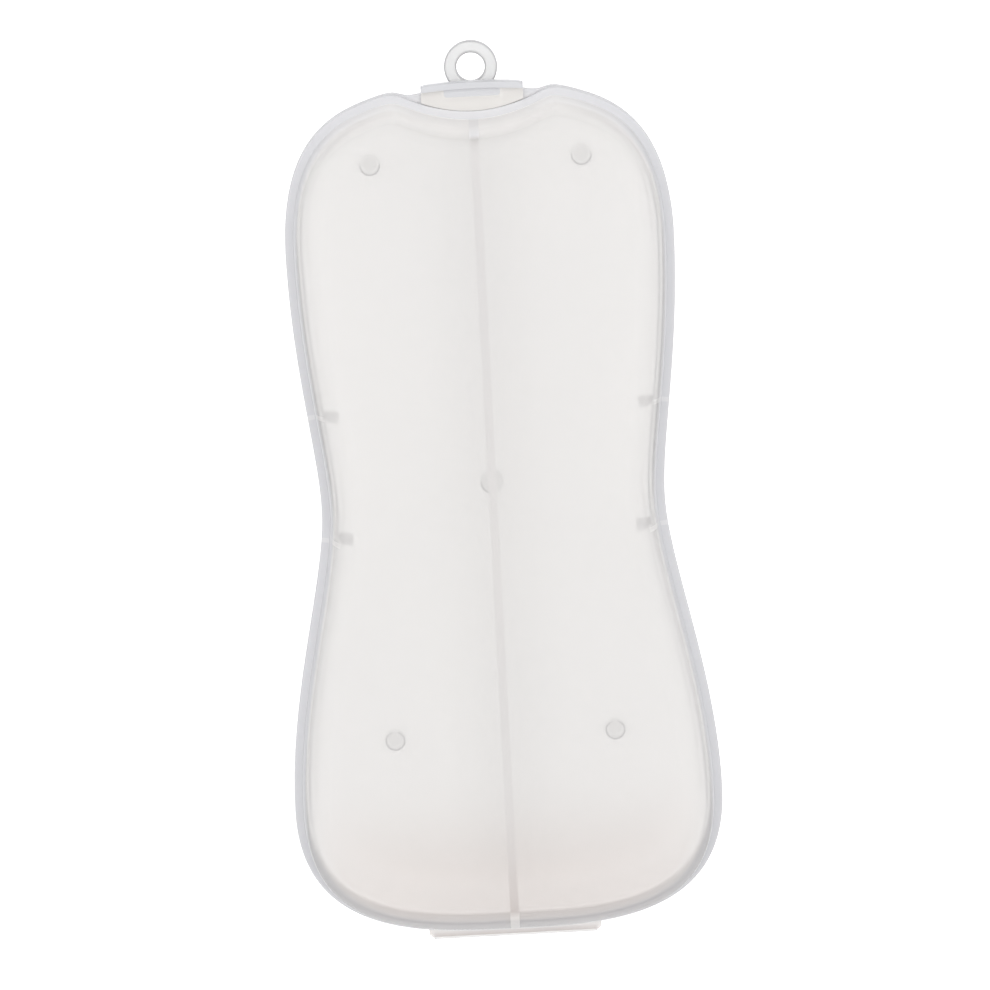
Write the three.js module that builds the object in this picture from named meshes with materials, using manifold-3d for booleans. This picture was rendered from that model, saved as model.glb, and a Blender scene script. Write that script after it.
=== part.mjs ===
// Baby utensil case: a hinged clamshell in frosted polypropylene with a centre divider, a sprung
// latch and a hang ring. Millimetres, +Z up, +Y towards the hang ring, feet on z = 0.
import * as THREE from "three";
import { mergeVertices } from "three/addons/utils/BufferGeometryUtils.js";
import Module from "manifold-3d";

const wasm = await Module();
wasm.setup();

// Rim outline in plan, measured from its hinge end
const rimLength = 174.4;
const ringLobeSetback = 31.7;
const ringLobeHalfWidth = 38.35;
const waistHalfWidth = 34.3;
const hingeLobeSetback = 27.3;
const hingeLobeHalfWidth = 43.4;
const waistShare = 0.55;

// Shares that set how full each stretch of the outline is
const ringEndShare = 0.475;
const ringCornerShare = 1;
const ringFlankShare = 0.456;
const upperWaistShare = 0.226;
const lowerWaistShare = 0.236;
const hingeFlankShare = 0.393;
const hingeCornerShare = 1.03;
const hingeEndShare = 0.376;

// Steps along the four stretches of half the outline
const ringEndSteps = 22;
const upperFlankSteps = 10;
const lowerFlankSteps = 12;
const hingeEndSteps = 18;

// Finger scoop at the latch, the shoulders beside it, and the shallow dips of the base rim
const scoopDepth = 4.6;
const scoopHalfWidth = 15.2;
const scoopBlendShare = 0.02;
const shoulderLift = 0.3;
const shoulderX = 16.3;
const shoulderSpread = 4;
const dipDepth = 1;
const dipX = 12.5;
const dipInnerSpread = 5;
const dipOuterSpread = 2.2;
const ringSeatDrop = 0.1;

// Heights
const footHeight = 0.6;
const baseDepth = 13.6;
const lidHeight = 11.6;
const partingGap = 0.25;

// Walls
const flangeThickness = 1.5;
const lidFlangeThickness = 1.3;
const lidFlangeWidth = 1.65;
const lidWall = 1.3;
const baseWall = 1.4;
const floorThickness = 1.4;
const ceilingThickness = 1.4;
const baseDraft = 0.6;
const lidDraft = 0.9;
const baseCornerRun = 5.4;
const lidCornerRun = 6.2;
const cornerSteps = 5;
const lipHeight = 1.2;
const lipThickness = 0.8;
const fitGap = 0.3;

// Divider, ribs, feet and gate disc
const dividerThickness = 1.7;
const ribThickness = 0.8;
const ribReach = 3;
const ribDrop = 8.4;
const ribCornerRadius = 1.8;
const ribPitch = 25.2;
const ribShift = 7.2;
const footRadius = 2.05;
const footFlatRadius = 1.6;
const footChamfer = 0.3;
const ringFootSetback = 17.2;
const ringFootShare = 0.55;
const hingeFootSetback = 37;
const hingeFootShare = 0.521;
const gateRadius = 2.35;
const gateHeight = 0.25;
const roundSteps = 32;

// Hinge leaves and the folded web that joins them
const leafHalfWidth = 17.6;
const leafReach = 1;
const leafRoot = 2;
const leafChamfer = 0.7;
const leafRelief = 0.1;
const webThickness = 0.45;
const webBore = 0.35;
const webSideMargin = 0.2;
const webSteps = 8;

// Latch tab, its hook and the slot that the hook passes
const latchHalfWidth = 10;
const latchThickness = 1.1;
const latchOverhang = 1.3;
const latchBow = 0.5;
const latchBarDepth = 1.2;
const latchBarHeight = 2.4;
const hookHalfWidth = 5.5;
const hookThickness = 1;
const hookSetback = 1.6;
const barbReach = 0.75;
const barbHeight = 0.6;
const barbPlay = 0.6;
const slotGap = 0.4;
const slotRun = 0.4;

// Hang ring
const ringReach = 3.9;
const ringRadius = 5.2;
const ringHoleRadius = 3;
const ringThickness = 1.8;
const ringBevel = 0.3;

// Levels and stations that follow from the sizes above
const ringLobeY = rimLength - ringLobeSetback;
const hingeLobeY = hingeLobeSetback;
const waistY = hingeLobeY + (ringLobeY - hingeLobeY) * waistShare;
const ribRingY = waistY + ribShift + ribPitch / 2;
const ribHingeY = waistY + ribShift - ribPitch / 2;
const ringFootX = ringLobeHalfWidth * ringFootShare;
const ringFootY = rimLength - ringFootSetback;
const hingeFootX = hingeLobeHalfWidth * hingeFootShare;
const hingeFootY = hingeFootSetback;
const baseUnderside = footHeight;
const partingZ = footHeight + baseDepth;
const floorZ = baseUnderside + floorThickness;
const lidZ = partingZ + partingGap;
const topZ = lidZ + lidHeight;
const ceilingZ = topZ - ceilingThickness;
const lidInnerInset = lidFlangeWidth + lidWall;
const lipInset = lidInnerInset + fitGap;
const baseInnerInset = lipInset + lipThickness;
const baseOuterInset = baseInnerInset - baseWall;
const hingeAxisZ = partingZ + partingGap / 2;
const webOuterY = -leafReach - webBore - webThickness;
const ringSeatY = rimLength - ringSeatDrop;
const ringCentreY = ringSeatY + ringReach;
const ringTopZ = partingZ - leafRelief;
const latchRootY = rimLength - scoopDepth + fitGap;
const latchOuterY = rimLength + latchOverhang;
const slotOuterY = rimLength - hookSetback + slotRun + slotGap;
const middleY = (webOuterY + ringCentreY + ringRadius) / 2;

// A cubic curve through two ends with two handles
function cubic(startX, startY, handleX, handleY, pullX, pullY, endX, endY) {
  return new THREE.CubicBezierCurve(
    new THREE.Vector2(startX, startY),
    new THREE.Vector2(handleX, handleY),
    new THREE.Vector2(pullX, pullY),
    new THREE.Vector2(endX, endY),
  );
}

// Right half of the rim, from the ring end to the hinge end
function halfOutline() {
  const ringRise = rimLength - ringLobeY;
  const upperRun = ringLobeY - waistY;
  const lowerRun = waistY - hingeLobeY;
  const ringEnd = cubic(
    0, rimLength,
    ringLobeHalfWidth * ringEndShare, rimLength,
    ringLobeHalfWidth, ringLobeY + ringRise * ringCornerShare,
    ringLobeHalfWidth, ringLobeY,
  );
  const upperFlank = cubic(
    ringLobeHalfWidth, ringLobeY,
    ringLobeHalfWidth, ringLobeY - upperRun * ringFlankShare,
    waistHalfWidth, waistY + upperRun * upperWaistShare,
    waistHalfWidth, waistY,
  );
  const lowerFlank = cubic(
    waistHalfWidth, waistY,
    waistHalfWidth, waistY - lowerRun * lowerWaistShare,
    hingeLobeHalfWidth, hingeLobeY + lowerRun * hingeFlankShare,
    hingeLobeHalfWidth, hingeLobeY,
  );
  const hingeEnd = cubic(
    hingeLobeHalfWidth, hingeLobeY,
    hingeLobeHalfWidth, hingeLobeY - hingeLobeY * hingeCornerShare,
    hingeLobeHalfWidth * hingeEndShare, 0,
    0, 0,
  );
  return [
    ...ringEnd.getSpacedPoints(ringEndSteps),
    ...upperFlank.getSpacedPoints(upperFlankSteps).slice(1),
    ...lowerFlank.getSpacedPoints(lowerFlankSteps).slice(1),
    ...hingeEnd.getSpacedPoints(hingeEndSteps).slice(1),
  ];
}

// The whole rim, anticlockwise from the ring end, with its outward normals
function rimOutline() {
  const right = halfOutline();
  const left = right.map((point) => new THREE.Vector2(-point.x, point.y));
  const points = [...left, ...right.slice(1, -1).reverse()];
  const count = points.length;
  return points.map((point, index) => {
    const ahead = points[(index + 1) % count];
    const behind = points[(index + count - 1) % count];
    const tangent = ahead.clone().sub(behind).normalize();
    return { point, normal: new THREE.Vector2(tangent.y, -tangent.x) };
  });
}

const outline = rimOutline();

// How far the scoop draws the wall in at a given x
function scoopAt(x) {
  const level = 1 - (x / scoopHalfWidth) ** 2;
  return (scoopDepth / 2) * (level + Math.sqrt(level * level + scoopBlendShare));
}

// How far the rim rises at the shoulders beside the scoop
function shoulderAt(x) {
  const offset = (Math.abs(x) - shoulderX) / shoulderSpread;
  return shoulderLift * Math.exp(-offset * offset);
}

// How far the base rim dips beside the ring seat
function dipAt(x) {
  const beyond = Math.abs(x) - dipX;
  const offset = beyond / (beyond > 0 ? dipOuterSpread : dipInnerSpread);
  return dipDepth * Math.exp(-offset * offset);
}

// One closed ring of points at an inset and a height
function ringOfPoints(inset, z, scooped) {
  return outline.map(({ point, normal }) => {
    const x = point.x - normal.x * inset;
    const y = point.y - normal.y * inset;
    if (point.y < ringLobeY) return new THREE.Vector3(x, y, z);
    const raisedY = y + shoulderAt(x);
    if (scooped) return new THREE.Vector3(x, raisedY - scoopAt(x), z);
    return new THREE.Vector3(x, Math.min(raisedY - dipAt(x), ringSeatY), z);
  });
}

// Closed solid swept round the outline by a profile of insets and heights
function sweepProfile(profile, edgeScooped) {
  const rings = profile.map(({ x, y }) => ringOfPoints(x, y, edgeScooped || x > 0));
  const count = outline.length;
  const points = rings.flat();
  points.push(new THREE.Vector3(0, waistY, profile[0].y));
  points.push(new THREE.Vector3(0, waistY, profile[profile.length - 1].y));
  const lowCentre = points.length - 2;
  const highCentre = points.length - 1;
  const lastRing = (rings.length - 1) * count;
  const index = [];
  for (let i = 0; i < count; i += 1) {
    const next = (i + 1) % count;
    index.push(lowCentre, next, i);
    index.push(highCentre, lastRing + i, lastRing + next);
    for (let k = 0; k < rings.length - 1; k += 1) {
      const near = k * count;
      const far = near + count;
      index.push(near + i, near + next, far + i);
      index.push(near + next, far + next, far + i);
    }
  }
  const geometry = new THREE.BufferGeometry().setFromPoints(points);
  geometry.setIndex(index);
  return geometry;
}

// Profile of the base, from under its floor, over the rim and down to the floor inside
function baseProfile() {
  const wallHeight = partingZ - flangeThickness - baseUnderside;
  const outerFoot = baseOuterInset + baseDraft;
  const outerCorner = outerFoot - (baseDraft * baseCornerRun) / wallHeight;
  const innerRun = baseCornerRun - baseWall / 2;
  const innerFoot = baseInnerInset + baseDraft;
  const innerCorner = innerFoot - (baseDraft * innerRun) / wallHeight;
  const path = new THREE.Path();
  path.moveTo(outerFoot + baseCornerRun, baseUnderside);
  path.quadraticCurveTo(outerFoot, baseUnderside, outerCorner, baseUnderside + baseCornerRun);
  path.lineTo(baseOuterInset, partingZ - flangeThickness);
  path.lineTo(0, partingZ - flangeThickness);
  path.lineTo(0, partingZ);
  path.lineTo(lipInset, partingZ);
  path.lineTo(lipInset, partingZ + lipHeight);
  path.lineTo(baseInnerInset, partingZ + lipHeight);
  path.lineTo(innerCorner, floorZ + innerRun);
  path.quadraticCurveTo(innerFoot, floorZ, innerFoot + innerRun, floorZ);
  return path.getPoints(cornerSteps);
}

// Insets and heights of the inside of the lid, with a clearance, from its rim to its ceiling
function lidInside(gap) {
  const run = lidCornerRun - lidWall / 2;
  const top = lidInnerInset + lidDraft + gap;
  const corner = top - (lidDraft * run) / lidHeight;
  const path = new THREE.Path();
  path.moveTo(lidInnerInset + gap, lidZ);
  path.lineTo(corner, ceilingZ - gap - run);
  path.quadraticCurveTo(top, ceilingZ - gap, top + run, ceilingZ - gap);
  return path.getPoints(cornerSteps);
}

// Profile of the lid, from its ceiling, round the rim and up to its top face
function lidProfile() {
  const outerTop = lidFlangeWidth + lidDraft;
  const outerCorner = outerTop - (lidDraft * lidCornerRun) / lidHeight;
  const path = new THREE.Path();
  path.moveTo(0, lidZ);
  path.lineTo(0, lidZ + lidFlangeThickness);
  path.lineTo(lidFlangeWidth, lidZ + lidFlangeThickness);
  path.lineTo(outerCorner, topZ - lidCornerRun);
  path.quadraticCurveTo(outerTop, topZ, outerTop + lidCornerRun, topZ);
  return [...lidInside(0).reverse(), ...path.getPoints(cornerSteps)];
}

// Profile of the space that the divider fills, clear of both shells
function dividerProfile() {
  const innerRun = baseCornerRun - baseWall / 2;
  const foot = baseInnerInset + baseDraft + fitGap;
  const path = new THREE.Path();
  path.moveTo(foot + innerRun, floorZ);
  path.quadraticCurveTo(foot, floorZ + fitGap, foot, floorZ + fitGap + innerRun);
  path.lineTo(baseInnerInset + fitGap, partingZ + lipHeight + fitGap);
  const inside = lidInside(fitGap + fitGap);
  const above = inside.filter((point) => point.y > partingZ + lipHeight + fitGap);
  return [...path.getPoints(cornerSteps), ...above];
}

// Geometry to manifold solid
function toSolid(geometry) {
  const bare = geometry.clone();
  bare.deleteAttribute("normal");
  bare.deleteAttribute("uv");
  const merged = mergeVertices(bare);
  const vertProperties = new Float32Array(merged.attributes.position.array);
  const triVerts = new Uint32Array(merged.index.array);
  return new wasm.Manifold(new wasm.Mesh({ numProp: 3, vertProperties, triVerts }));
}

// Manifold solid to geometry
function toGeometry(solid) {
  const mesh = solid.getMesh();
  const geometry = new THREE.BufferGeometry();
  geometry.setAttribute("position", new THREE.BufferAttribute(mesh.vertProperties, mesh.numProp));
  geometry.setIndex(new THREE.BufferAttribute(mesh.triVerts, 1));
  geometry.computeVertexNormals();
  return geometry;
}

// Box between two corners
function boxBetween(x0, y0, z0, x1, y1, z1) {
  const geometry = new THREE.BoxGeometry(x1 - x0, y1 - y0, z1 - z0);
  return geometry.translate((x0 + x1) / 2, (y0 + y1) / 2, (z0 + z1) / 2);
}

// Shape drawn in plan and raised between two heights
function raised(shape, z0, z1) {
  const options = { depth: z1 - z0, bevelEnabled: false, curveSegments: roundSteps };
  return new THREE.ExtrudeGeometry(shape, options).translate(0, 0, z0);
}

// Hinge leaf with chamfered outer corners
function leafGeometry(z0, z1) {
  const shape = new THREE.Shape();
  shape.moveTo(-leafHalfWidth, leafRoot);
  shape.lineTo(-leafHalfWidth, leafChamfer - leafReach);
  shape.lineTo(-leafHalfWidth + leafChamfer, -leafReach);
  shape.lineTo(leafHalfWidth - leafChamfer, -leafReach);
  shape.lineTo(leafHalfWidth, leafChamfer - leafReach);
  shape.lineTo(leafHalfWidth, leafRoot);
  shape.closePath();
  return raised(shape, z0, z1);
}

// Base: swept tray, hinge leaf and gate disc, less the latch slot
function baseShell() {
  const tray = toSolid(sweepProfile(baseProfile(), false));
  const leafLow = partingZ - flangeThickness + leafRelief;
  const leaf = toSolid(leafGeometry(leafLow, partingZ - leafRelief));
  const disc = new THREE.CylinderGeometry(gateRadius, gateRadius, floorThickness, roundSteps);
  disc.rotateX(Math.PI / 2);
  disc.translate(0, middleY, baseUnderside - gateHeight + floorThickness / 2);
  const slotInnerY = slotOuterY - slotRun - slotGap * 2 - hookThickness;
  const slotHalf = hookHalfWidth + slotGap;
  const slot = toSolid(boxBetween(
    -slotHalf, slotInnerY, partingZ - flangeThickness * 2,
    slotHalf, slotOuterY, partingZ + flangeThickness,
  ));
  return toGeometry(tray.add(leaf).add(toSolid(disc)).subtract(slot));
}

// Lid: swept cover and hinge leaf
function lidShell() {
  const cover = toSolid(sweepProfile(lidProfile(), true));
  const leafHigh = lidZ + lidFlangeThickness - leafRelief;
  const leaf = toSolid(leafGeometry(lidZ + leafRelief, leafHigh));
  return toGeometry(cover.add(leaf));
}

// Folded web between the two leaves
function hingeWeb() {
  const shape = new THREE.Shape();
  const outer = webBore + webThickness;
  shape.absarc(0, 0, outer, -Math.PI / 2, Math.PI / 2, false);
  shape.absarc(0, 0, webBore, Math.PI / 2, -Math.PI / 2, true);
  shape.closePath();
  const halfWidth = leafHalfWidth - leafChamfer - webSideMargin;
  const options = { depth: halfWidth * 2, bevelEnabled: false, curveSegments: webSteps };
  const geometry = new THREE.ExtrudeGeometry(shape, options);
  geometry.translate(0, 0, -halfWidth);
  geometry.rotateY(-Math.PI / 2);
  geometry.rotateX(Math.PI / 2);
  return geometry;
}

// Centre divider: a slab cut to the space between the shells
function divider() {
  const space = toSolid(sweepProfile(dividerProfile(), true));
  const half = dividerThickness / 2;
  const slab = toSolid(boxBetween(-half, 0, 0, half, rimLength, topZ));
  return toGeometry(space.intersect(slab));
}

// Space inside the lid with the given clearance
function lidSpace() {
  return toSolid(sweepProfile(lidInside(fitGap), true));
}

// Half width of the rim at a given y
function halfWidthAt(y) {
  const right = halfOutline();
  const index = right.findIndex((point) => point.y < y);
  const above = right[index - 1];
  const below = right[index];
  const share = (above.y - y) / (above.y - below.y);
  return above.x + (below.x - above.x) * share;
}

// Stiffening rib inside the lid, with its free corner rounded
function lidRib(side, y) {
  const rimX = halfWidthAt(y);
  const inner = rimX - lidInnerInset - lidDraft / 2 - ribReach;
  const shape = new THREE.Shape();
  const low = ceilingZ - ribDrop;
  shape.moveTo(rimX, topZ);
  shape.lineTo(inner, topZ);
  shape.lineTo(inner, low + ribCornerRadius);
  shape.quadraticCurveTo(inner, low, inner + ribCornerRadius, low);
  shape.lineTo(rimX, low);
  shape.closePath();
  const options = { depth: ribThickness, bevelEnabled: false, curveSegments: cornerSteps };
  const plate = new THREE.ExtrudeGeometry(shape, options);
  plate.rotateX(Math.PI / 2);
  if (side < 0) plate.rotateZ(Math.PI);
  plate.translate(0, y + (side > 0 ? ribThickness : -ribThickness) / 2, 0);
  return toGeometry(lidSpace().intersect(toSolid(plate)));
}

// Round foot with a chamfered lower edge
function foot() {
  const profile = [
    new THREE.Vector2(0, 0),
    new THREE.Vector2(footFlatRadius, 0),
    new THREE.Vector2(footRadius, footChamfer),
    new THREE.Vector2(footRadius, footHeight),
    new THREE.Vector2(0, footHeight),
  ];
  return new THREE.LatheGeometry(profile, roundSteps).rotateX(Math.PI / 2);
}

// Hang ring: a bevelled disc with a hole, cut straight where it meets the rim
function hangRing() {
  const seatAngle = Math.acos(ringReach / ringRadius);
  const start = -Math.PI / 2 + seatAngle;
  const shape = new THREE.Shape();
  shape.absarc(0, 0, ringRadius, start, Math.PI * 1.5 - seatAngle, false);
  shape.closePath();
  const hole = new THREE.Path();
  hole.absarc(0, 0, ringHoleRadius, 0, Math.PI * 2, false);
  shape.holes.push(hole);
  const options = {
    depth: ringThickness - ringBevel * 2,
    bevelThickness: ringBevel,
    bevelSize: ringBevel,
    bevelOffset: -ringBevel,
    bevelSegments: 2,
    curveSegments: roundSteps,
  };
  return new THREE.ExtrudeGeometry(shape, options).translate(0, 0, ringBevel);
}

// Latch tab: plate, raised bar and the hook that passes the slot
function latchTab() {
  const plate = toSolid(latchPlate());
  const bar = toSolid(latchBar());
  const hookOuter = rimLength - hookSetback;
  const hookInner = hookOuter - hookThickness;
  const hookLow = partingZ - flangeThickness - barbPlay - barbHeight;
  const hook = toSolid(boxBetween(
    -hookHalfWidth, hookInner, hookLow,
    hookHalfWidth, hookOuter, lidZ + latchThickness / 2,
  ));
  const barb = toSolid(boxBetween(
    -hookHalfWidth, hookInner - barbReach, hookLow,
    hookHalfWidth, hookOuter - hookThickness / 2, hookLow + barbHeight,
  ));
  return toGeometry(plate.add(bar).add(hook).add(barb));
}

// Plate of the latch, following the scoop with a clearance
function latchPlate() {
  const shape = new THREE.Shape();
  shape.moveTo(latchHalfWidth, latchOuterY - latchBarDepth / 2);
  shape.lineTo(-latchHalfWidth, latchOuterY - latchBarDepth / 2);
  const steps = ringEndSteps;
  for (let i = 0; i <= steps; i += 1) {
    const x = latchHalfWidth * ((2 * i) / steps - 1);
    shape.lineTo(x, rimLength + fitGap + shoulderAt(x) - scoopAt(x));
  }
  shape.closePath();
  return raised(shape, lidZ, lidZ + latchThickness);
}

// Bar along the outer edge of the latch, both its long sides slightly bowed
function latchBar() {
  const shape = new THREE.Shape();
  const endY = latchOuterY - latchBow;
  const innerY = latchOuterY - latchBarDepth;
  shape.moveTo(-latchHalfWidth, innerY - latchBow);
  shape.quadraticCurveTo(0, innerY + latchBow, latchHalfWidth, innerY - latchBow);
  shape.lineTo(latchHalfWidth, endY);
  shape.quadraticCurveTo(0, latchOuterY + latchBow, -latchHalfWidth, endY);
  shape.closePath();
  return raised(shape, lidZ, lidZ + latchBarHeight);
}

// Frosted polypropylene
function frosted(color, roughness) {
  return new THREE.MeshStandardMaterial({ color, roughness, metalness: 0 });
}

const assembly = new THREE.Group();
assembly.position.y = -middleY;

// Adds one named piece at a place in the assembly
function addPiece(name, geometry, color, roughness, x, y, z) {
  const mesh = new THREE.Mesh(geometry, frosted(color, roughness));
  mesh.name = name;
  mesh.position.set(x, y, z);
  assembly.add(mesh);
}

addPiece("base_shell", baseShell(), 0xece9e8, 0.4, 0, 0, 0);
addPiece("lid_shell", lidShell(), 0xeeebea, 0.38, 0, 0, 0);
addPiece("hinge_web", hingeWeb(), 0xe7e3e2, 0.35, 0, -leafReach, hingeAxisZ);
addPiece("center_divider", divider(), 0xe0dedf, 0.4, 0, 0, 0);
addPiece("rib_ring_left", lidRib(-1, ribRingY), 0xe4e3e5, 0.4, 0, 0, 0);
addPiece("rib_ring_right", lidRib(1, ribRingY), 0xe4e3e5, 0.4, 0, 0, 0);
addPiece("rib_hinge_left", lidRib(-1, ribHingeY), 0xe4e3e5, 0.4, 0, 0, 0);
addPiece("rib_hinge_right", lidRib(1, ribHingeY), 0xe4e3e5, 0.4, 0, 0, 0);
addPiece("foot_ring_left", foot(), 0xe9e7e7, 0.35, -ringFootX, ringFootY, 0);
addPiece("foot_ring_right", foot(), 0xe9e7e7, 0.35, ringFootX, ringFootY, 0);
addPiece("foot_hinge_left", foot(), 0xe9e7e7, 0.35, -hingeFootX, hingeFootY, 0);
addPiece("foot_hinge_right", foot(), 0xe9e7e7, 0.35, hingeFootX, hingeFootY, 0);
addPiece("hang_ring", hangRing(), 0xf2f2f2, 0.2, 0, ringCentreY, ringTopZ - ringThickness);
addPiece("latch_tab", latchTab(), 0xe0e0e4, 0.36, 0, 0, 0);

const utensilCase = new THREE.Group();
utensilCase.add(assembly);

export default utensilCase;
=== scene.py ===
"""Dresses the packed baby utensil case: a frosted polypropylene clamshell with a centre divider,
a folded web hinge, a sprung latch tab and a hang ring, on a plain pale floor."""

import math

import bmesh
import bpy
import numpy as np
from bpy.props import FloatProperty, FloatVectorProperty, PointerProperty
from mathutils import Matrix, Vector


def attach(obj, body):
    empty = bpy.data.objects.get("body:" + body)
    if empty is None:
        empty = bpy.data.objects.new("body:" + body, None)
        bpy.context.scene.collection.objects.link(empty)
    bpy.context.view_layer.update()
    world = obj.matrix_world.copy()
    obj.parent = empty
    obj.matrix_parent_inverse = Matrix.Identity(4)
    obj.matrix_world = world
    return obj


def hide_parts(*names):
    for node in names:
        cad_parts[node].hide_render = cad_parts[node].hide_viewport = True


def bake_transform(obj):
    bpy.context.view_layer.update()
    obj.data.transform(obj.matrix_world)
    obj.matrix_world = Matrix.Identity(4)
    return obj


bl_info = {
    "name": "Baby Utensil Case",
    "version": (1, 0, 0),
    "blender": (4, 5, 0),
    "location": "View3D > Sidebar > Utensil Case",
    "description": "Builds the pieces and finishes of a frosted baby utensil case",
    "category": "Add Mesh",
}

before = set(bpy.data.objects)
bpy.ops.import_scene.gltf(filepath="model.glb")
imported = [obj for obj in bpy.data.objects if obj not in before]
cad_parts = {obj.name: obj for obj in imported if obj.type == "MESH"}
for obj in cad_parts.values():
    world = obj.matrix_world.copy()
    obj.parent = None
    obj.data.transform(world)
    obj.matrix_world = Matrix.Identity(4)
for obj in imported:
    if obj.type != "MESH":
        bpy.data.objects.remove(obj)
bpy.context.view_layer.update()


def setting(kind, **limits):
    """A maker of settings of one kind, each from its name, description and default."""
    def make(name, description, default):
        return kind(name=name, description=description, default=default, **limits)

    return make


length = setting(FloatProperty, min=0, unit="LENGTH", precision=5)
share = setting(FloatProperty, min=0, max=1, subtype="FACTOR")
angle = setting(FloatProperty, subtype="ANGLE")
number = setting(FloatProperty)
colour = setting(FloatVectorProperty, size=3, min=0, max=1, subtype="COLOR")


class OutlineSettings(bpy.types.PropertyGroup):
    """Plan outline of the rim, measured from its hinge end"""

    rim_length: length("Rim length", "Without hinge and ring", 0.1744)
    ring_lobe_setback: length("Ring lobe setback", "From the ring end", 0.0317)
    ring_lobe: length("Ring lobe", "Half width there", 0.03835)
    waist: length("Waist", "Half width there", 0.0343)
    hinge_lobe_setback: length("Hinge lobe setback", "From the hinge end", 0.0273)
    hinge_lobe: length("Hinge lobe", "Half width there", 0.0434)
    waist_share: share("Waist place", "Between the two lobes", 0.55)
    scoop_depth: length("Scoop depth", "Of the finger scoop", 0.0046)
    scoop_half_width: length("Scoop half width", "Of the finger scoop", 0.0152)


class ShellSettings(bpy.types.PropertyGroup):
    """Heights and walls of the two shells"""

    foot_height: length("Foot height", "Of the feet", 0.0006)
    base_depth: length("Base depth", "Up to the parting plane", 0.0136)
    lid_height: length("Lid height", "From its rim to its top", 0.0116)
    parting_gap: length("Parting gap", "Between the two rims", 0.00025)
    rim: length("Base rim", "Its thickness", 0.0015)
    lid_rim: length("Lid rim", "Its thickness", 0.0013)
    lid_rim_width: length("Lid rim width", "Outside the lid's wall", 0.00165)
    lid_wall: length("Lid wall", "Its thickness", 0.0013)
    base_wall: length("Base wall", "Its thickness", 0.0014)
    floor: length("Floor", "Its thickness", 0.0014)
    ceiling: length("Ceiling", "Its thickness", 0.0014)
    base_draft: length("Base draft", "How far its wall leans in", 0.0006)
    lid_draft: length("Lid draft", "How far its wall leans in", 0.0009)
    base_corner: length("Base corner", "Run of its rounding", 0.0054)
    lid_corner: length("Lid corner", "Run of its rounding", 0.0062)
    lip_height: length("Lip height", "Its height", 0.0012)
    lip: length("Lip", "Its thickness", 0.0008)
    fit_gap: length("Fit gap", "Between pieces", 0.0003)
    edge: length("Edge rounding", "Its run", 0.00025)


class DetailSettings(bpy.types.PropertyGroup):
    """Divider, ribs, feet, hinge, latch and ring"""

    divider: length("Divider", "Its thickness", 0.0017)
    rib: length("Rib", "Its thickness", 0.0008)
    rib_reach: length("Rib reach", "Inwards from the wall", 0.003)
    rib_drop: length("Rib drop", "Down from the ceiling", 0.0084)
    rib_pitch: length("Rib pitch", "From rib to rib", 0.0252)
    foot: length("Foot radius", "Of the four feet", 0.00205)
    ring_foot_setback: length("Ring feet", "From the ring end", 0.0172)
    ring_foot_share: share("Ring feet spread", "Share of the half width", 0.55)
    hinge_foot_setback: length("Hinge feet", "From the hinge end", 0.037)
    hinge_foot_share: share("Hinge feet spread", "Share of the half width", 0.521)
    leaf_half_width: length("Leaf half width", "Of the hinge leaves", 0.0176)
    leaf_reach: length("Leaf reach", "Beyond the rim", 0.001)
    web: length("Web", "Its thickness", 0.00045)
    web_bore: length("Web bore", "Inner radius of the fold", 0.00035)
    latch_half_width: length("Latch half width", "Of the latch tab", 0.01)
    latch_plate: length("Latch plate", "Its thickness", 0.0011)
    latch_bar: length("Latch bar", "Its depth", 0.0012)
    latch_bar_height: length("Latch bar height", "Above the rim's underside", 0.0024)
    hook_half_width: length("Hook half width", "Of the latch's hook", 0.0055)
    hook: length("Hook", "Its thickness", 0.001)
    ring: length("Ring radius", "Its outer radius", 0.0052)
    ring_hole: length("Ring hole", "Its radius", 0.0028)
    ring_thickness: length("Ring thickness", "Its height", 0.0018)
    ring_reach: length("Ring reach", "Centre beyond its seat", 0.0039)


class FinishSettings(bpy.types.PropertyGroup):
    """Colours and surface of the frosted plastic"""

    shell_tint: colour("Shell", "Faces of the shells", (0.998, 0.98, 0.964))
    rim_tint: colour("Rim", "Thick rims", (0.775, 0.775, 0.798))
    edge_tint: colour("Shell on edge", "Shells seen on edge", (0.97, 0.975, 1.0))
    # Painted shade: the faces turn darker and warmer towards the hinge end.
    hinge_shade_tint: colour("Hinge end", "Its faces", (0.865, 0.81, 0.785))
    # Painted shade in the corner of the lid's rim, growing towards the hinge end.
    crease_shade_tint: colour("Crease", "Rim at the hinge", (0.45, 0.45, 0.5))
    divider_tint: colour("Divider", "Its upper edge", (0.67, 0.65, 0.65))
    rib_tint: colour("Rib", "Ribs in the lid", (0.8, 0.79, 0.81))
    # Painted shade: dark arcs along the steep edges of the feet and the gate.
    boss_shade_tint: colour("Marks", "Witness rings", (0.28, 0.28, 0.3))
    ring_tint: colour("Ring", "Hang ring", (0.75, 0.75, 0.75))
    # Painted shade on the hang ring's rounded sides.
    ring_side_shade_tint: colour("Ring on edge", "Its rounded sides", (0.5, 0.5, 0.51))
    plate_tint: colour("Latch plate", "Plate of the latch", (0.89, 0.87, 0.845))
    latch_tint: colour("Latch bar", "Latch bar and hook", (0.69, 0.695, 0.72))
    face_opacity: share("Face opacity", "Seen square on", 0.31)
    rim_opacity: share("Rim opacity", "Seen square on", 0.8)
    edge_opacity: share("Edge opacity", "Seen on edge", 0.85)
    ring_roughness: share("Ring roughness", "Of the hang ring", 0.16)
    roughness: share("Roughness", "Of the frosted surface", 0.5)


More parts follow.
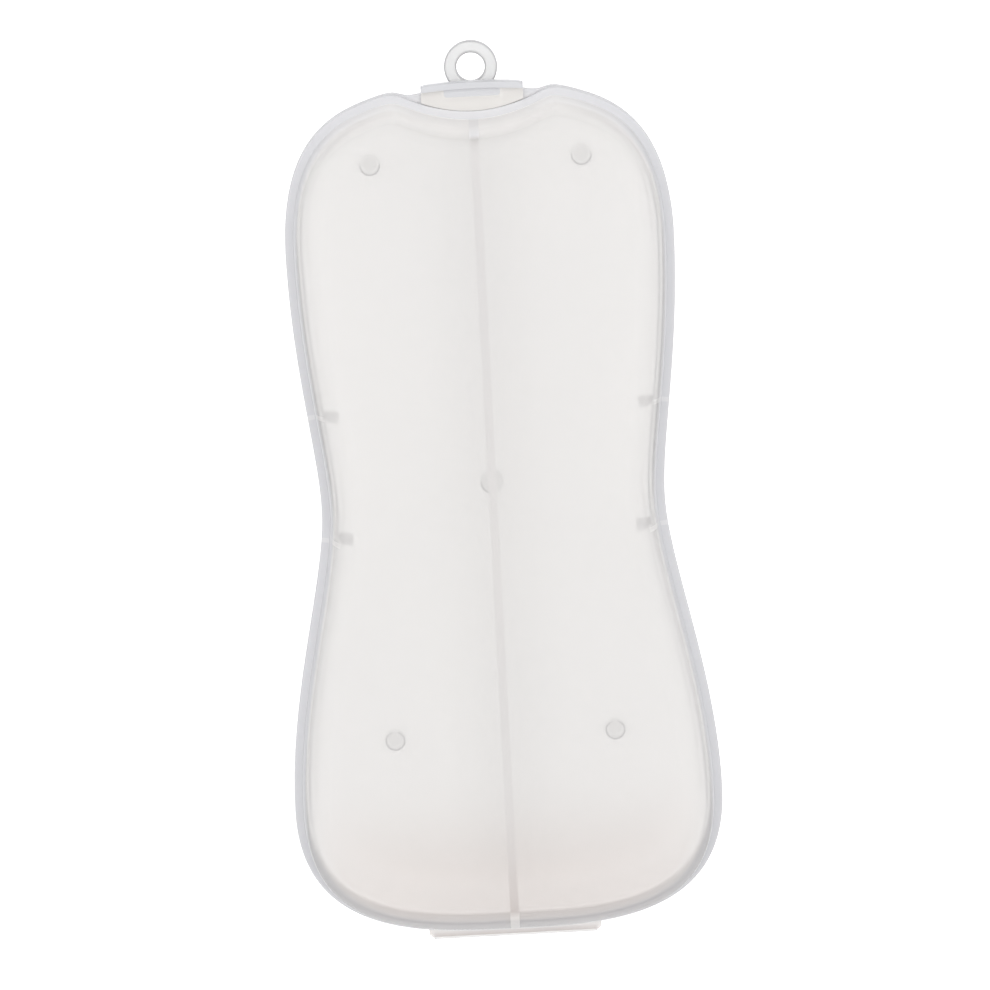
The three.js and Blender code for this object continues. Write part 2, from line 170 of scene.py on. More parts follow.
class StageSettings(bpy.types.PropertyGroup):
    """Camera, lamp and floor"""

    lean: angle("Lean", "Of the camera, to the ring", math.radians(15))
    roll: angle("Roll", "Turn in the picture", math.radians(2.985))
    pixels_per_metre: number("Scale", "Pixels for a metre", 5000)
    world: number("World", "Strength of its light", 0.6)
    lamp: number("Lamp", "Power of the lamp, in watts", 9.5)
    ground_tint: colour("Floor", "Its colour", (0.9, 0.9, 0.9))
    glow_tint: colour("Floor glow", "Where the floor is seen", (0.45, 0.45, 0.45))


SETTINGS = {
    "case_outline": OutlineSettings,
    "case_shell": ShellSettings,
    "case_detail": DetailSettings,
    "case_finish": FinishSettings,
    "case_stage": StageSettings,
}


# Outline of the rim

RING_END_SHARE = 0.475
RING_FLANK_SHARE = 0.456
UPPER_WAIST_SHARE = 0.226
LOWER_WAIST_SHARE = 0.236
HINGE_FLANK_SHARE = 0.393
HINGE_CORNER_SHARE = 1.03
HINGE_END_SHARE = 0.376
SCOOP_BLEND = 0.02
SHOULDER_LIFT = 0.0003
SHOULDER_X = 0.0163
SHOULDER_SPREAD = 0.004
DIP_DEPTH = 0.001
DIP_X = 0.0125
DIP_SPREAD = 0.005
DIP_OUTER_SPREAD = 0.0022
RING_SEAT_DROP = 0.0001
THICK_INSET = 0.0022
FRONT_INSET = 0.0019
THICK_RUN = 0.00025
FADES = (FRONT_INSET, FRONT_INSET + THICK_RUN, THICK_INSET, THICK_INSET + THICK_RUN)
STRETCH_STEPS = (64, 26, 30, 48)
CURVE_SAMPLES = 400
NEAR_EDGE = 1.1
STRIP_FADE = 0.00015
RIM_STRIP = -0.0009
WALL_STRIP = 0.00035
DIVIDER_STRIP = 0.0065
FACE_INSET = 0.0038
RIB_SHARE = 0.3
LOBE_SHARE = 0.6
STRIP_SHARE = 0.75
DIVIDER_SHARE = 0.48
GROOVE_SHARE = 0.12
WALL_FADE = 1.3
LOOKS = ("thickness", "hinge_end", "face", "crease", "root")


class Levels:
    """Heights, insets and stations that follow from the settings."""

    def __init__(self, scene):
        o, s, d = scene.case_outline, scene.case_shell, scene.case_detail
        self.o, self.s, self.d, self.f = o, s, d, scene.case_finish
        self.parting = s.foot_height + s.base_depth
        self.floor = s.foot_height + s.floor
        self.lid = self.parting + s.parting_gap
        self.top = self.lid + s.lid_height
        self.ceiling = self.top - s.ceiling
        self.lid_inner = s.lid_rim_width + s.lid_wall
        self.lip = self.lid_inner + s.fit_gap
        self.base_inner = self.lip + s.lip
        self.base_outer = self.base_inner - s.base_wall
        self.ring_seat = o.rim_length - RING_SEAT_DROP
        self.ring_centre = self.ring_seat + d.ring_reach
        web_outer = -d.leaf_reach - d.web_bore - d.web
        self.middle = (web_outer + self.ring_centre + d.ring) / 2
        self.ring_lobe_y = o.rim_length - o.ring_lobe_setback
        self.hinge_lobe_y = o.hinge_lobe_setback
        self.waist_y = self.hinge_lobe_y + (self.ring_lobe_y - self.hinge_lobe_y) * o.waist_share
        self.outline = rim_outline(self)

    def place(self, y):
        """A station along the rim as a y of the row frame."""
        return y - self.middle

    def plan(self, points):
        """Points of a plan, measured along the rim, in the row frame."""
        return [(x, self.place(y)) for x, y in points]

    def scoop(self, x):
        """How far the finger scoop draws the wall in."""
        level = 1 - (x / self.o.scoop_half_width) ** 2
        return self.o.scoop_depth / 2 * (level + np.sqrt(level * level + SCOOP_BLEND))

    def shoulder(self, x):
        """How far the rim rises at the shoulders beside the scoop."""
        offset = (np.abs(x) - SHOULDER_X) / SHOULDER_SPREAD
        return SHOULDER_LIFT * np.exp(-offset * offset)

    def dip(self, x):
        """How far the base rim dips beside the ring."""
        beyond = np.abs(x) - DIP_X
        offset = beyond / np.where(beyond > 0, DIP_OUTER_SPREAD, DIP_SPREAD)
        return DIP_DEPTH * np.exp(-offset * offset)

    def half_width(self, y):
        """Half width of the rim at a station."""
        half = sorted((p[1], p[0]) for p in self.outline if p[0] >= 0)
        return float(np.interp(y, *zip(*half)))


def stretch(ends_and_handles, steps):
    """Evenly spaced points along a cubic curve, after its start."""
    t = np.linspace(0, 1, CURVE_SAMPLES)[:, None]
    a, b, c, e = (np.array(p, float) for p in ends_and_handles)
    points = (1 - t) ** 3 * a + 3 * (1 - t) ** 2 * t * b + 3 * (1 - t) * t * t * c + t**3 * e
    run = np.concatenate([[0], np.cumsum(np.linalg.norm(np.diff(points, axis=0), axis=1))])
    even = np.linspace(0, run[-1], steps + 1)
    return np.column_stack([np.interp(even, run, points[:, k]) for k in (0, 1)])[1:]


def rim_outline(lv):
    """The whole rim, anticlockwise from the ring end: x, y and the outward normal."""
    o, ring_y, waist_y, hinge_y = lv.o, lv.ring_lobe_y, lv.waist_y, lv.hinge_lobe_y
    upper, lower = ring_y - waist_y, waist_y - hinge_y
    curve = (
        (0, o.rim_length),
        (o.ring_lobe * RING_END_SHARE, o.rim_length),
        (o.ring_lobe, o.rim_length),
        (o.ring_lobe, ring_y),
        (o.ring_lobe, ring_y - upper * RING_FLANK_SHARE),
        (o.waist, waist_y + upper * UPPER_WAIST_SHARE),
        (o.waist, waist_y),
        (o.waist, waist_y - lower * LOWER_WAIST_SHARE),
        (o.hinge_lobe, hinge_y + lower * HINGE_FLANK_SHARE),
        (o.hinge_lobe, hinge_y),
        (o.hinge_lobe, hinge_y - hinge_y * HINGE_CORNER_SHARE),
        (o.hinge_lobe * HINGE_END_SHARE, 0),
        (0, 0),
    )
    parts = [stretch(curve[3 * k : 3 * k + 4], steps) for k, steps in enumerate(STRETCH_STEPS)]
    right = np.vstack([curve[:1], *parts])
    loop = np.vstack([right * (-1, 1), right[1:-1][::-1]])
    tangent = np.roll(loop, -1, axis=0) - np.roll(loop, 1, axis=0)
    tangent /= np.linalg.norm(tangent, axis=1)[:, None]
    outline = np.column_stack([loop, tangent[:, 1], -tangent[:, 0]])
    outline = crossed(outline, 0, 0, lv.d.divider / 2)
    for y in rib_places(lv).values():
        for shift in (RIM_STRIP, WALL_STRIP):
            outline = crossed(outline, 1, y + shift, lv.d.rib / 2)
    return outline


def crossed(outline, axis, middle, half):
    """The outline with more points where it crosses the edges and the fades of a strip."""
    values = (middle - half - STRIP_FADE, middle - half, middle + half, middle + half + STRIP_FADE)
    rows = []
    for here, on in zip(outline, np.roll(outline, -1, axis=0)):
        rows.append(here)
        low, high = sorted((here[axis], on[axis]))
        back = bool(on[axis] < here[axis])
        places = sorted((v for v in values if low < v < high), reverse=back)
        for value in places:
            rows.append(here + (on - here) * (value - here[axis]) / (on[axis] - here[axis]))
    return np.array(rows)


def ring_of_points(lv, inset, z, scooped):
    """One closed ring of the shell at an inset and a height."""
    x = lv.outline[:, 0] - lv.outline[:, 2] * inset
    y = lv.outline[:, 1] - lv.outline[:, 3] * inset
    at_ring = lv.outline[:, 1] >= lv.ring_lobe_y
    y = np.where(at_ring, y + lv.shoulder(x), y)
    drawn_in = y - lv.scoop(x) if scooped else np.minimum(y - lv.dip(x), lv.ring_seat)
    return np.column_stack([x, lv.place(np.where(at_ring, drawn_in, y)), np.full_like(x, z)])


def rounded(corners, steps=6):
    """Points of a line with its corners rounded: each corner is inset, height and run."""
    points = [Vector(corners[0][:2])]
    for before, here, after in zip(corners, corners[1:], corners[2:]):
        corner, run = Vector(here[:2]), here[2]
        if run == 0:
            points.append(corner)
            continue
        back, on = ((Vector(p[:2]) - corner).normalized() * run + corner for p in (before, after))
        for k in range(steps + 1):
            t = k / steps
            points.append(back * (1 - t) ** 2 + corner * 2 * t * (1 - t) + on * t * t)
    points.append(Vector(corners[-1][:2]))
    return points


def sweep(lv, profile, plain_edge):
    """Vertices and faces of a closed solid swept round the outline. Rings with an inset up to
    plain_edge keep clear of the finger scoop."""
    count = len(lv.outline)
    rings = [ring_of_points(lv, p.x, p.y, p.x > plain_edge) for p in profile]
    centres = [(0, lv.place(lv.waist_y), profile[end].y) for end in (0, -1)]
    verts = np.vstack([*rings, centres])
    low, high = len(verts) - 2, len(verts) - 1
    last = (len(rings) - 1) * count
    faces = []
    for i in range(count):
        j = (i + 1) % count
        faces.append((low, j, i))
        faces.append((high, last + i, last + j))
        for near in range(0, last, count):
            faces.append((near + i, near + j, near + count + j, near + count + i))
    return verts, faces


def rim_looks(lv, profile, shaded_creases, ribbed):
    """Looks of a sweep's vertices. thickness is 1 on the rim and where the divider shows through
    the scoop's wall. hinge_end grows towards the hinge. face is 1 away from the walls. crease
    holds painted shade on the roundings given as inset, height and strength, growing towards the
    hinge. root holds the clearer wall at the ring end and the strips in which the divider and the
    lid's ribs show on the rim."""
    s, x, y = lv.s, lv.outline[:, 0], lv.outline[:, 1]
    insets = np.array([p.x for p in profile])
    end, front = (np.clip(way * lv.outline[:, 3], 0, 1) ** power for way, power in ((-1, 3), (1, 2)))
    middle = np.abs(x) < (lv.d.divider + STRIP_FADE) / 2
    wall_end = lv.lid_inner + s.lid_draft
    near = insets < wall_end
    wall = near & (insets > s.lid_rim_width - s.edge / 4)
    strip = np.outer(wall, middle & (y > lv.ring_lobe_y))
    shares = 1 - np.clip((insets - THICK_INSET) / THICK_RUN, 0, 1)
    beyond = np.outer(insets > FRONT_INSET + THICK_RUN / 2, front)
    thick = np.maximum(shares[:, None] * (1 - beyond), strip)
    behind_latch = (np.abs(x) < lv.d.latch_half_width) & (y > lv.ring_lobe_y)
    thick = np.where(np.outer(insets < s.edge / 10, behind_latch), 0, thick)
    aside = np.clip(np.abs(x) / lv.o.scoop_half_width - 0.5, 0, 1)
    fade = np.clip(WALL_FADE * (wall_end - insets) / (wall_end - s.lid_rim_width), 0, 1)
    root = np.outer(wall * fade, front * (1 - (1 - LOBE_SHARE) * aside))
    root = np.where(strip, STRIP_SHARE * root, root)
    root = np.maximum(root, GROOVE_SHARE * np.outer(insets < NEAR_EDGE * s.edge, behind_latch))
    crossed_rim = np.outer(insets < DIVIDER_STRIP, middle & (y < lv.hinge_lobe_y))
    root = np.maximum(root, DIVIDER_SHARE * crossed_rim)
    for place in rib_places(lv).values() if ribbed else ():
        for rings, shift in ((~wall, RIM_STRIP), (wall, WALL_STRIP)):
            crossing = np.abs(y - place - shift) < (lv.d.rib + STRIP_FADE) / 2
            root = np.maximum(root, RIB_SHARE * np.outer(near & rings, crossing))
    # Painted shade along the given roundings, growing towards the hinge end.
    shade_lines = np.zeros(len(profile))
    for inset, height, strength in shaded_creases:
        away = np.array([math.hypot(p.x - inset, p.y - height) for p in profile])
        shade_lines = np.maximum(shade_lines, np.where(away < NEAR_EDGE * s.edge, strength, 0))
    crease = np.outer(shade_lines, end)
    end, faces = np.broadcast_to(end, crease.shape), np.clip(insets / FACE_INSET - 0.8, 0, 1)
    faces = np.broadcast_to(faces[:, None], crease.shape)
    looks = zip(LOOKS, (thick, end, faces, crease, root))
    return {title: np.append(values, (title == "face",) * 2) for title, values in looks}


# Mesh helpers

COINCIDENT = 1e-7


def mesh_object(name, verts, faces, looks=None):
    """A new object in the scene from vertices and faces, with the looks that are given."""
    mesh = bpy.data.meshes.new(name)
    mesh.from_pydata([tuple(v) for v in verts], [], faces)
    for title, values in (looks or {}).items():
        look = mesh.attributes.new(title, "FLOAT", "POINT")
        look.data.foreach_set("value", np.asarray(values, np.float32))
    obj = bpy.data.objects.new(name, mesh)
    bpy.context.scene.collection.objects.link(obj)
    return obj


def prism(name, points, low, high, axis="Z"):
    """A solid from a flat outline, raised between two levels along an axis."""
    count = len(points)
    verts = []
    for level in (low, high):
        for u, v in points:
            verts.append({"Z": (u, v, level), "Y": (u, level, v), "X": (level, u, v)}[axis])
    faces = [tuple(range(count)), tuple(range(2 * count - 1, count - 1, -1))]
    for i in range(count):
        j = (i + 1) % count
        faces.append((j, i, i + count, j + count))
    return outward(mesh_object(name, verts, faces))


def lathe(name, sections, angles=None):
    """A solid from sections of radius and height: evenly all the way round, or one at each
    angle in degrees with both ends capped."""
    closed = angles is None
    if closed:
        angles = np.arange(len(sections)) * 360 / len(sections)
    count = len(sections[0])
    verts, faces = [], []
    for section, turn in zip(sections, np.radians(angles)):
        verts += [(r * math.cos(turn), r * math.sin(turn), z) for r, z in section]
    total = len(verts)
    for k in range(0, total if closed else total - count, count):
        on = (k + count) % total
        for i in range(count):
            j = (i + 1) % count
            faces.append((k + i, k + j, on + j, on + i))
    if not closed:
        faces += [tuple(range(count)), tuple(range(total - 1, total - count - 1, -1))]
    return outward(mesh_object(name, verts, faces))


def outward(obj):
    """Merges points that coincide and turns all faces outward."""
    work = bmesh.new()
    work.from_mesh(obj.data)
    bmesh.ops.remove_doubles(work, verts=work.verts, dist=COINCIDENT)
    bmesh.ops.recalc_face_normals(work, faces=work.faces)
    work.to_mesh(obj.data)
    work.free()
    return obj


def apply_modifier(obj, name, kind, **settings):
    """Adds a modifier with its settings and bakes it into the mesh."""
    modifier = obj.modifiers.new(name, kind)
    for title, value in settings.items():
        setattr(modifier, title, value)
    bpy.context.view_layer.update()
    depsgraph = bpy.context.evaluated_depsgraph_get()
    baked = bpy.data.meshes.new_from_object(obj.evaluated_get(depsgraph))
    obj.modifiers.remove(modifier)
    old = obj.data
    obj.data = baked
    bpy.data.meshes.remove(old)


def round_edges(obj, width, segments=3, limit=35):
    """Rounds the edges sharper than the limit."""
    limit = math.radians(limit)
    settings = {"width": width, "segments": segments, "angle_limit": limit}
    apply_modifier(obj, "Rounding", "BEVEL", limit_method="ANGLE", **settings)


def combine(obj, other, operation):
    """Joins the other solid to obj, cuts it off, or keeps what they share, and removes it."""
    apply_modifier(obj, "Combine", "BOOLEAN", operation=operation, solver="EXACT", object=other)
    bpy.data.objects.remove(other)


def smooth(obj, limit=32):
    """Smooth shading that keeps edges sharper than the limit."""
    for polygon in obj.data.polygons:
        polygon.use_smooth = True
    obj.data.set_sharp_from_angle(angle=math.radians(limit))


def finish_piece(obj, material, body, slot, *nodes):
    """Gives a piece its finish and its body, and hides the nodes that it stands for, if any; slot is
    not used.
    """
    smooth(obj)
    obj.data.materials.clear()
    obj.data.materials.append(material)
    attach(obj, body)
    if nodes:
        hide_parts(*nodes)


def second_finish(obj, material, chosen):
    """Gives one more finish to the faces that chosen picks."""
    obj.data.materials.append(material)
    for polygon in obj.data.polygons:
        if chosen(polygon):
            polygon.material_index = len(obj.data.materials) - 1


# Finishes

# Painted shade: between these two places along the case the faces take on the hinge shade tint.
SHADE_DRIFT_START = -0.055
SHADE_DRIFT_END = -0.088
ROOT_OPACITY = 0.85
# Opacity of the painted shade in the corner of the lid's rim.
CREASE_SHADE_OPACITY = 0.9
RIM_END_SHARE = 0.75
CLOUD_SHARES = (0.985, 0.985, 0.99, 1)
CLOUD_SCALE = 28
GRAIN_SCALE = 2600
ROUGHNESS_SPREAD = 0.05
BLACK, WHITE = (0, 0, 0, 1), (1, 1, 1, 1)
END_OPACITY = 0.12
SHELL_GRAZING = (0.83, 0.8, 1)
OPACITIES = {
    "Boss plastic": (0.02, 0.02, 0.08),
    "Boss shade arc": (0.8, 0.8, 0.9),
    "Divider plastic": (0.45, 0.45, 0.12),
    "Divider edge": (0.98, 0.98, 0.98),
    "Rib plastic": (0.4, 0.4, 0.45),
    "Ring plastic": (0.5, 0.5, 0.7),
    "Ring side shade": (0.85, 0.85, 0.85),
    "Latch plastic": (0.7, 0.7, 0.8),
    "Latch seam": (0.1, 0.1, 0.15),
    "Latch bar": (0.9, 0.9, 0.95),
    "Hinge plastic": (0.4, 0.5, 0.9),
}
FROST_INPUTS = {
    "Thin Tint": WHITE,
    "Thick Tint": WHITE,
    "Cloud Tint": WHITE,
    "Hinge Shade Tint": WHITE,
    "Thin Opacity": 0.3,
    "Thick Opacity": 0.6,
    "Thick End Opacity": 0.5,
    "Roughness Low": 0.38,
    "Roughness High": 0.48,
}


def feed(tree, socket, value):
    """Links an output to a socket, or sets the socket's own value."""
    if isinstance(value, bpy.types.NodeSocket):
        tree.links.new(value, socket)
    else:
        socket.default_value = value


def node(tree, kind, inputs, **settings):
    """A new shader node with its settings, and its inputs from outputs or plain values."""
    made = tree.nodes.new("ShaderNode" + kind)
    for name, value in settings.items():
        setattr(made, name, value)
    for name, value in inputs.items():
        feed(tree, made.inputs[name], value)
    return made


def colour_mix(tree, share_of_second, first, second):
    """A mix of two colours; a colour is an output or a plain value."""
    mix = node(tree, "Mix", {"Factor": share_of_second}, data_type="RGBA")
    sockets = [socket for socket in mix.inputs if socket.type == "RGBA"]
    for socket, value in zip(sockets, (first, second)):
        feed(tree, socket, value)
    return next(socket for socket in mix.outputs if socket.type == "RGBA")


def map_range(tree, value, low, high, start=0.0, end=1.0, steps="LINEAR"):
    """A value mapped from start and end to low and high; each is an output or a number."""
    inputs = {"Value": value, "From Min": start, "From Max": end, "To Min": low, "To Max": high}
    return node(tree, "MapRange", inputs, interpolation_type=steps).outputs["Result"]


def maths(tree, operation, first, second):
    """The result of an operation on two values."""
    return node(tree, "Math", {0: first, 1: second}, operation=operation).outputs["Value"]


def seen_share(tree):
    """1 where a ray shows a surface: straight from the camera, mirrored or through plastic."""
    path = node(tree, "LightPath", {}).outputs
    seen = maths(tree, "MAXIMUM", path["Is Camera Ray"], path["Is Glossy Ray"])
    return maths(tree, "MAXIMUM", seen, path["Is Transmission Ray"])


def frost_group():
    """Shader group: clouding, grain and thickness look of frosted moulded plastic, and a painted
    shade that darkens and warms the faces towards the hinge end.
    """
    name = "Frosted plastic tone"
    if name in bpy.data.node_groups:
        return bpy.data.node_groups[name]
    group = bpy.data.node_groups.new(name, "ShaderNodeTree")
    for title, default in FROST_INPUTS.items():
        kind = "NodeSocketFloat" if isinstance(default, float) else "NodeSocketColor"
        socket = group.interface.new_socket(title, in_out="INPUT", socket_type=kind)
        socket.default_value = default
    given = group.nodes.new("NodeGroupInput").outputs
    place = node(group, "TexCoord", {}).outputs["Object"]
    cloud = {"Vector": place, "Scale": CLOUD_SCALE, "Detail": 3, "Roughness": 0.45}
    cloud = node(group, "TexNoise", cloud).outputs["Fac"]
    grain = {"Vector": place, "Scale": GRAIN_SCALE, "Detail": 2}
    grain = node(group, "TexNoise", grain).outputs["Fac"]
    thickness, hinge_end, face, crease, root = (
        node(group, "Attribute", {}, attribute_name=look).outputs["Fac"] for look in LOOKS
    )
    clouding = map_range(group, cloud, 0.0, 1.0, 0.3, 0.7)
    tint = colour_mix(group, clouding, given["Thin Tint"], given["Cloud Tint"])
    # Painted shade: the faces darken and warm towards the hinge end.
    hinge_shaded = node(group, "VectorMath", {0: tint, 1: given["Hinge Shade Tint"]}, operation="MULTIPLY")
    along = node(group, "SeparateXYZ", {"Vector": place}).outputs["Y"]
    shade_drift = map_range(group, along, 0.0, 1.0, SHADE_DRIFT_START, SHADE_DRIFT_END, "SMOOTHSTEP")
    shade_drift = maths(group, "MULTIPLY", shade_drift, face)
    tint = colour_mix(group, shade_drift, tint, hinge_shaded.outputs["Vector"])
    full = map_range(group, hinge_end, given["Thick Opacity"], given["Thick End Opacity"])
    results = {
        "Color": colour_mix(group, thickness, tint, given["Thick Tint"]),
        "Opacity": map_range(group, thickness, given["Thin Opacity"], full),
        "Roughness": map_range(group, grain, given["Roughness Low"], given["Roughness High"]),
        "Height": grain,
        "Hinge End": hinge_end,
        "Crease": crease,
        "Root": root,
    }
    out = group.nodes.new("NodeGroupOutput")
    for title, value in results.items():
        kind = "NodeSocketColor" if title == "Color" else "NodeSocketFloat"
        group.interface.new_socket(title, in_out="OUTPUT", socket_type=kind)
        group.links.new(value, out.inputs[title])
    return group


def frosted(name, tints, roughness, opacities=None, grazing=(0.7, 0.7, 1), end_shade_tints=None):
    """Frosted plastic: thin, thick and on-edge tints and opacities, deeper and more opaque where
    seen on edge. grazing holds where that starts, also at the hinge, and where it is full;
    end_shade_tints hold the painted shade that the hinge end takes, on its faces and in the corner of
    its rim."""
    if name in bpy.data.materials:
        return bpy.data.materials[name]
    material = bpy.data.materials.new(name)
    material.use_nodes = True
    tree = material.node_tree
    opacities = opacities or OPACITIES[name]
    hinge_shade, crease = end_shade_tints or ((1, 1, 1), tints[2])
    thin, thick, edge, hinge_shade, crease = ((*tint, 1) for tint in (*tints, hinge_shade, crease))
    inputs = {
        "Thin Tint": thin,
        "Thick Tint": thick,
        "Cloud Tint": [part * share_left for part, share_left in zip(thin, CLOUD_SHARES)],
        "Hinge Shade Tint": hinge_shade,
        "Thin Opacity": opacities[0],
        "Thick Opacity": opacities[1],
        "Thick End Opacity": opacities[1] * RIM_END_SHARE,
        "Roughness Low": roughness - ROUGHNESS_SPREAD,
        "Roughness High": roughness + ROUGHNESS_SPREAD,
    }
    frost = node(tree, "Group", inputs, node_tree=frost_group()).outputs
    facing = node(tree, "LayerWeight", {"Blend": 0.5}).outputs["Facing"]
    start = map_range(tree, frost["Hinge End"], *grazing[:2])
    depth = map_range(tree, facing, 0.0, 1.0, start, grazing[2], "SMOOTHSTEP")
    tint = colour_mix(tree, depth, frost["Color"], edge)
    # Painted shade in the corner of the rim at the hinge end.
    tint = colour_mix(tree, frost["Crease"], tint, crease)
    tint = colour_mix(tree, frost["Root"], tint, thin)
    full = map_range(tree, frost["Hinge End"], opacities[2], opacities[-1])
    alpha = map_range(tree, depth, frost["Opacity"], full)
    alpha = map_range(tree, frost["Crease"], alpha, CREASE_SHADE_OPACITY)
    alpha = map_range(tree, frost["Root"], alpha, ROOT_OPACITY)
    bump = {"Strength": 0.02, "Distance": 0.0002, "Height": frost["Height"]}
    finish = {
        "Base Color": tint,
        "Alpha": alpha,
        "Roughness": frost["Roughness"],
        "Normal": node(tree, "Bump", bump).outputs["Normal"],
        "IOR": 1.49,
        "Specular IOR Level": 0.2,
    }
    for title, value in finish.items():
        feed(tree, tree.nodes["Principled BSDF"].inputs[title], value)
    return material


# Pieces

DIVIDER_EDGE = WEB_EDGE = 0.0001
RIB_EDGE = 0.00012
LATCH_EDGE = 0.00015
LEAF_CHAMFER = 0.0007
LEAF_RELIEF = 0.0001
WEB_MARGIN = 0.0002
LATCH_BOW = 0.0005
LATCH_CORNER = 0.0008
BARB_REACH = 0.00075
BARB_HEIGHT = 0.0006
BARB_PLAY = 0.0006
SLOT_GAP = 0.0004
HOOK_SETBACK = 0.0016
GATE_HEIGHT = 0.0001
RIB_SHIFT = 0.0072
LATCH_OVERHANG = 0.0013
GATE_RADIUS = 0.00235
SHADE_ARC_WIDTH = 0.00035
RING_EDGE = 0.0006
RIB_CORNER = 0.0018
BOSS_GLOSS = 0.12
WEB_GRAZING = (0.35, 0.35, 1)
FOLD_STEPS = 16
RING_STEPS = 96
ARC_STEPS = 36
GATE_STEPS, FOOT_STEPS = 48, 40
GATE_DIMPLE, FOOT_DIMPLE = 0.3, 0.4
# Angles in degrees over which the painted shade arcs run round the gate and the feet.
GATE_ARC = (170, 280)
FOOT_ARCS = {"ring": (165, 375), "hinge": (100, 440)}
SIDES = ((-1, "left"), (1, "right"))


def base_corners(lv):
    """Corners of the base's section."""
    s = lv.s
    flat = 3 * s.base_wall
    outer = lv.base_outer + s.base_draft
    inner = lv.base_inner + s.base_draft
    inner_run = s.base_corner - s.base_wall / 2
    below = lv.parting - s.rim
    return (
        (outer + s.base_corner + flat, s.foot_height, 0),
        (outer, s.foot_height, s.base_corner),
        (lv.base_outer, below, s.edge),
        *((inset, below, 0) for inset in FADES[2::-1]),
        (0, below, s.edge),
        (0, lv.parting, s.edge),
        *((inset, lv.parting, 0) for inset in FADES),
        (lv.lip, lv.parting, s.edge / 3),
        (lv.lip, lv.parting + s.lip_height, s.edge / 2),
        (lv.base_inner, lv.parting + s.lip_height, s.edge / 2),
        (inner, lv.floor, inner_run),
        (inner + inner_run + flat, lv.floor, 0),
    )


def lid_corners(lv):
    """Corners of the lid's section."""
    s = lv.s
    flat = 3 * s.lid_wall
    outer = s.lid_rim_width + s.lid_draft
    inner = lv.lid_inner + s.lid_draft
    inner_run = s.lid_corner - s.lid_wall / 2
    above = lv.lid + s.lid_rim
    beside = 2 * s.edge
    return (
        (inner + inner_run + flat, lv.ceiling, 0),
        (inner, lv.ceiling, inner_run),
        (lv.lid_inner, lv.lid, s.edge / 2),
        *((inset, lv.lid, 0) for inset in FADES[::-1]),
        (0, lv.lid, s.edge),
        (0, above, s.edge),
        (s.lid_rim_width - beside, above, 0),
        (s.lid_rim_width, above, s.edge),
        (s.lid_rim_width + s.lid_draft * beside / (lv.top - above), above + beside, 0),
        (outer, lv.top, s.lid_corner),
        (outer + s.lid_corner + flat, lv.top, 0),
    )


def leaf(lv, name, low, high):
    """A hinge leaf between two heights."""
    d = lv.d
    w, c, out = d.leaf_half_width, LEAF_CHAMFER, -d.leaf_reach
    half = [(w, 2 * d.leaf_reach), (w, out + c), (w - c * 0.7, out + c * 0.3), (w - c, out)]
    return prism(name, lv.plan([(-x, y) for x, y in half] + half[::-1]), low, high)


def shell_material(f, name):
    """The shells' frosted finish."""
    tints = (f.shell_tint, f.rim_tint, f.edge_tint)
    opacities = (f.face_opacity, f.rim_opacity, f.edge_opacity, END_OPACITY)
    # Painted shade at the hinge end, on the faces and in the corner of the rim.
    ends = (f.hinge_shade_tint, f.crease_shade_tint)
    return frosted(name, tints, f.roughness, opacities, SHELL_GRAZING, ends)


def disc(name, radius, low, high, steps, dimple):
    """A round boss with a softened lower edge and a shallow dimple, its share of the height."""
    height = high - low
    soft = min(height * 0.45, radius * 0.2)
    section = (
        (0, low + height * dimple),
        (radius * 0.45, low + height * dimple * 0.8),
        (radius * 0.7, low),
        (radius - soft, low),
        (radius - soft * 0.3, low + soft * 0.3),
        (radius, low + soft),
        (radius, high),
        (0, high),
    )
    return lathe(name, [section] * steps)


def shade_arc(name, lv, radius, first, last):
    """The painted shade arc along a boss's edge, seen on the floor inside the case, between two
    angles in degrees; it thins out towards its ends."""
    sections, shares = [], np.linspace(0, 1, ARC_STEPS + 1)
    for along in shares:
        width = SHADE_ARC_WIDTH * (0.08 + 0.92 * math.sin(math.pi * along) ** 0.3)
        low, high = lv.floor - width / 2, lv.floor + width / 6
        inner, outer = radius - width * 0.8, radius - width * 0.2
        sections.append(((radius - width, low), (radius, low), (outer, high), (inner, high)))
    return lathe(name, sections, first + (last - first) * shares)


def boss(lv, names, radius, low, steps, dimple, place, arc, *nodes):
    """A boss under the floor from a height down, and its painted shade arc, at a place in the row
    frame.
    """
    f, high = lv.f, lv.s.foot_height + lv.s.edge / 2
    tints = (f.shell_tint, f.rim_tint, f.edge_tint)
    clear = frosted("Boss plastic", tints, f.roughness - BOSS_GLOSS)
    # Painted shade: a dark arc on the floor along the boss's edge.
    arc_shade = frosted("Boss shade arc", (f.boss_shade_tint,) * 3, f.roughness)
    button = disc(names[0], radius, low, high, steps, dimple)
    shade_arc_piece = shade_arc(names[1], lv, radius, *arc)
    button.location = shade_arc_piece.location = (*place, 0)
    finish_piece(button, clear, "base", "base_plastic", *nodes)
    finish_piece(shade_arc_piece, arc_shade, "base", "base_plastic")


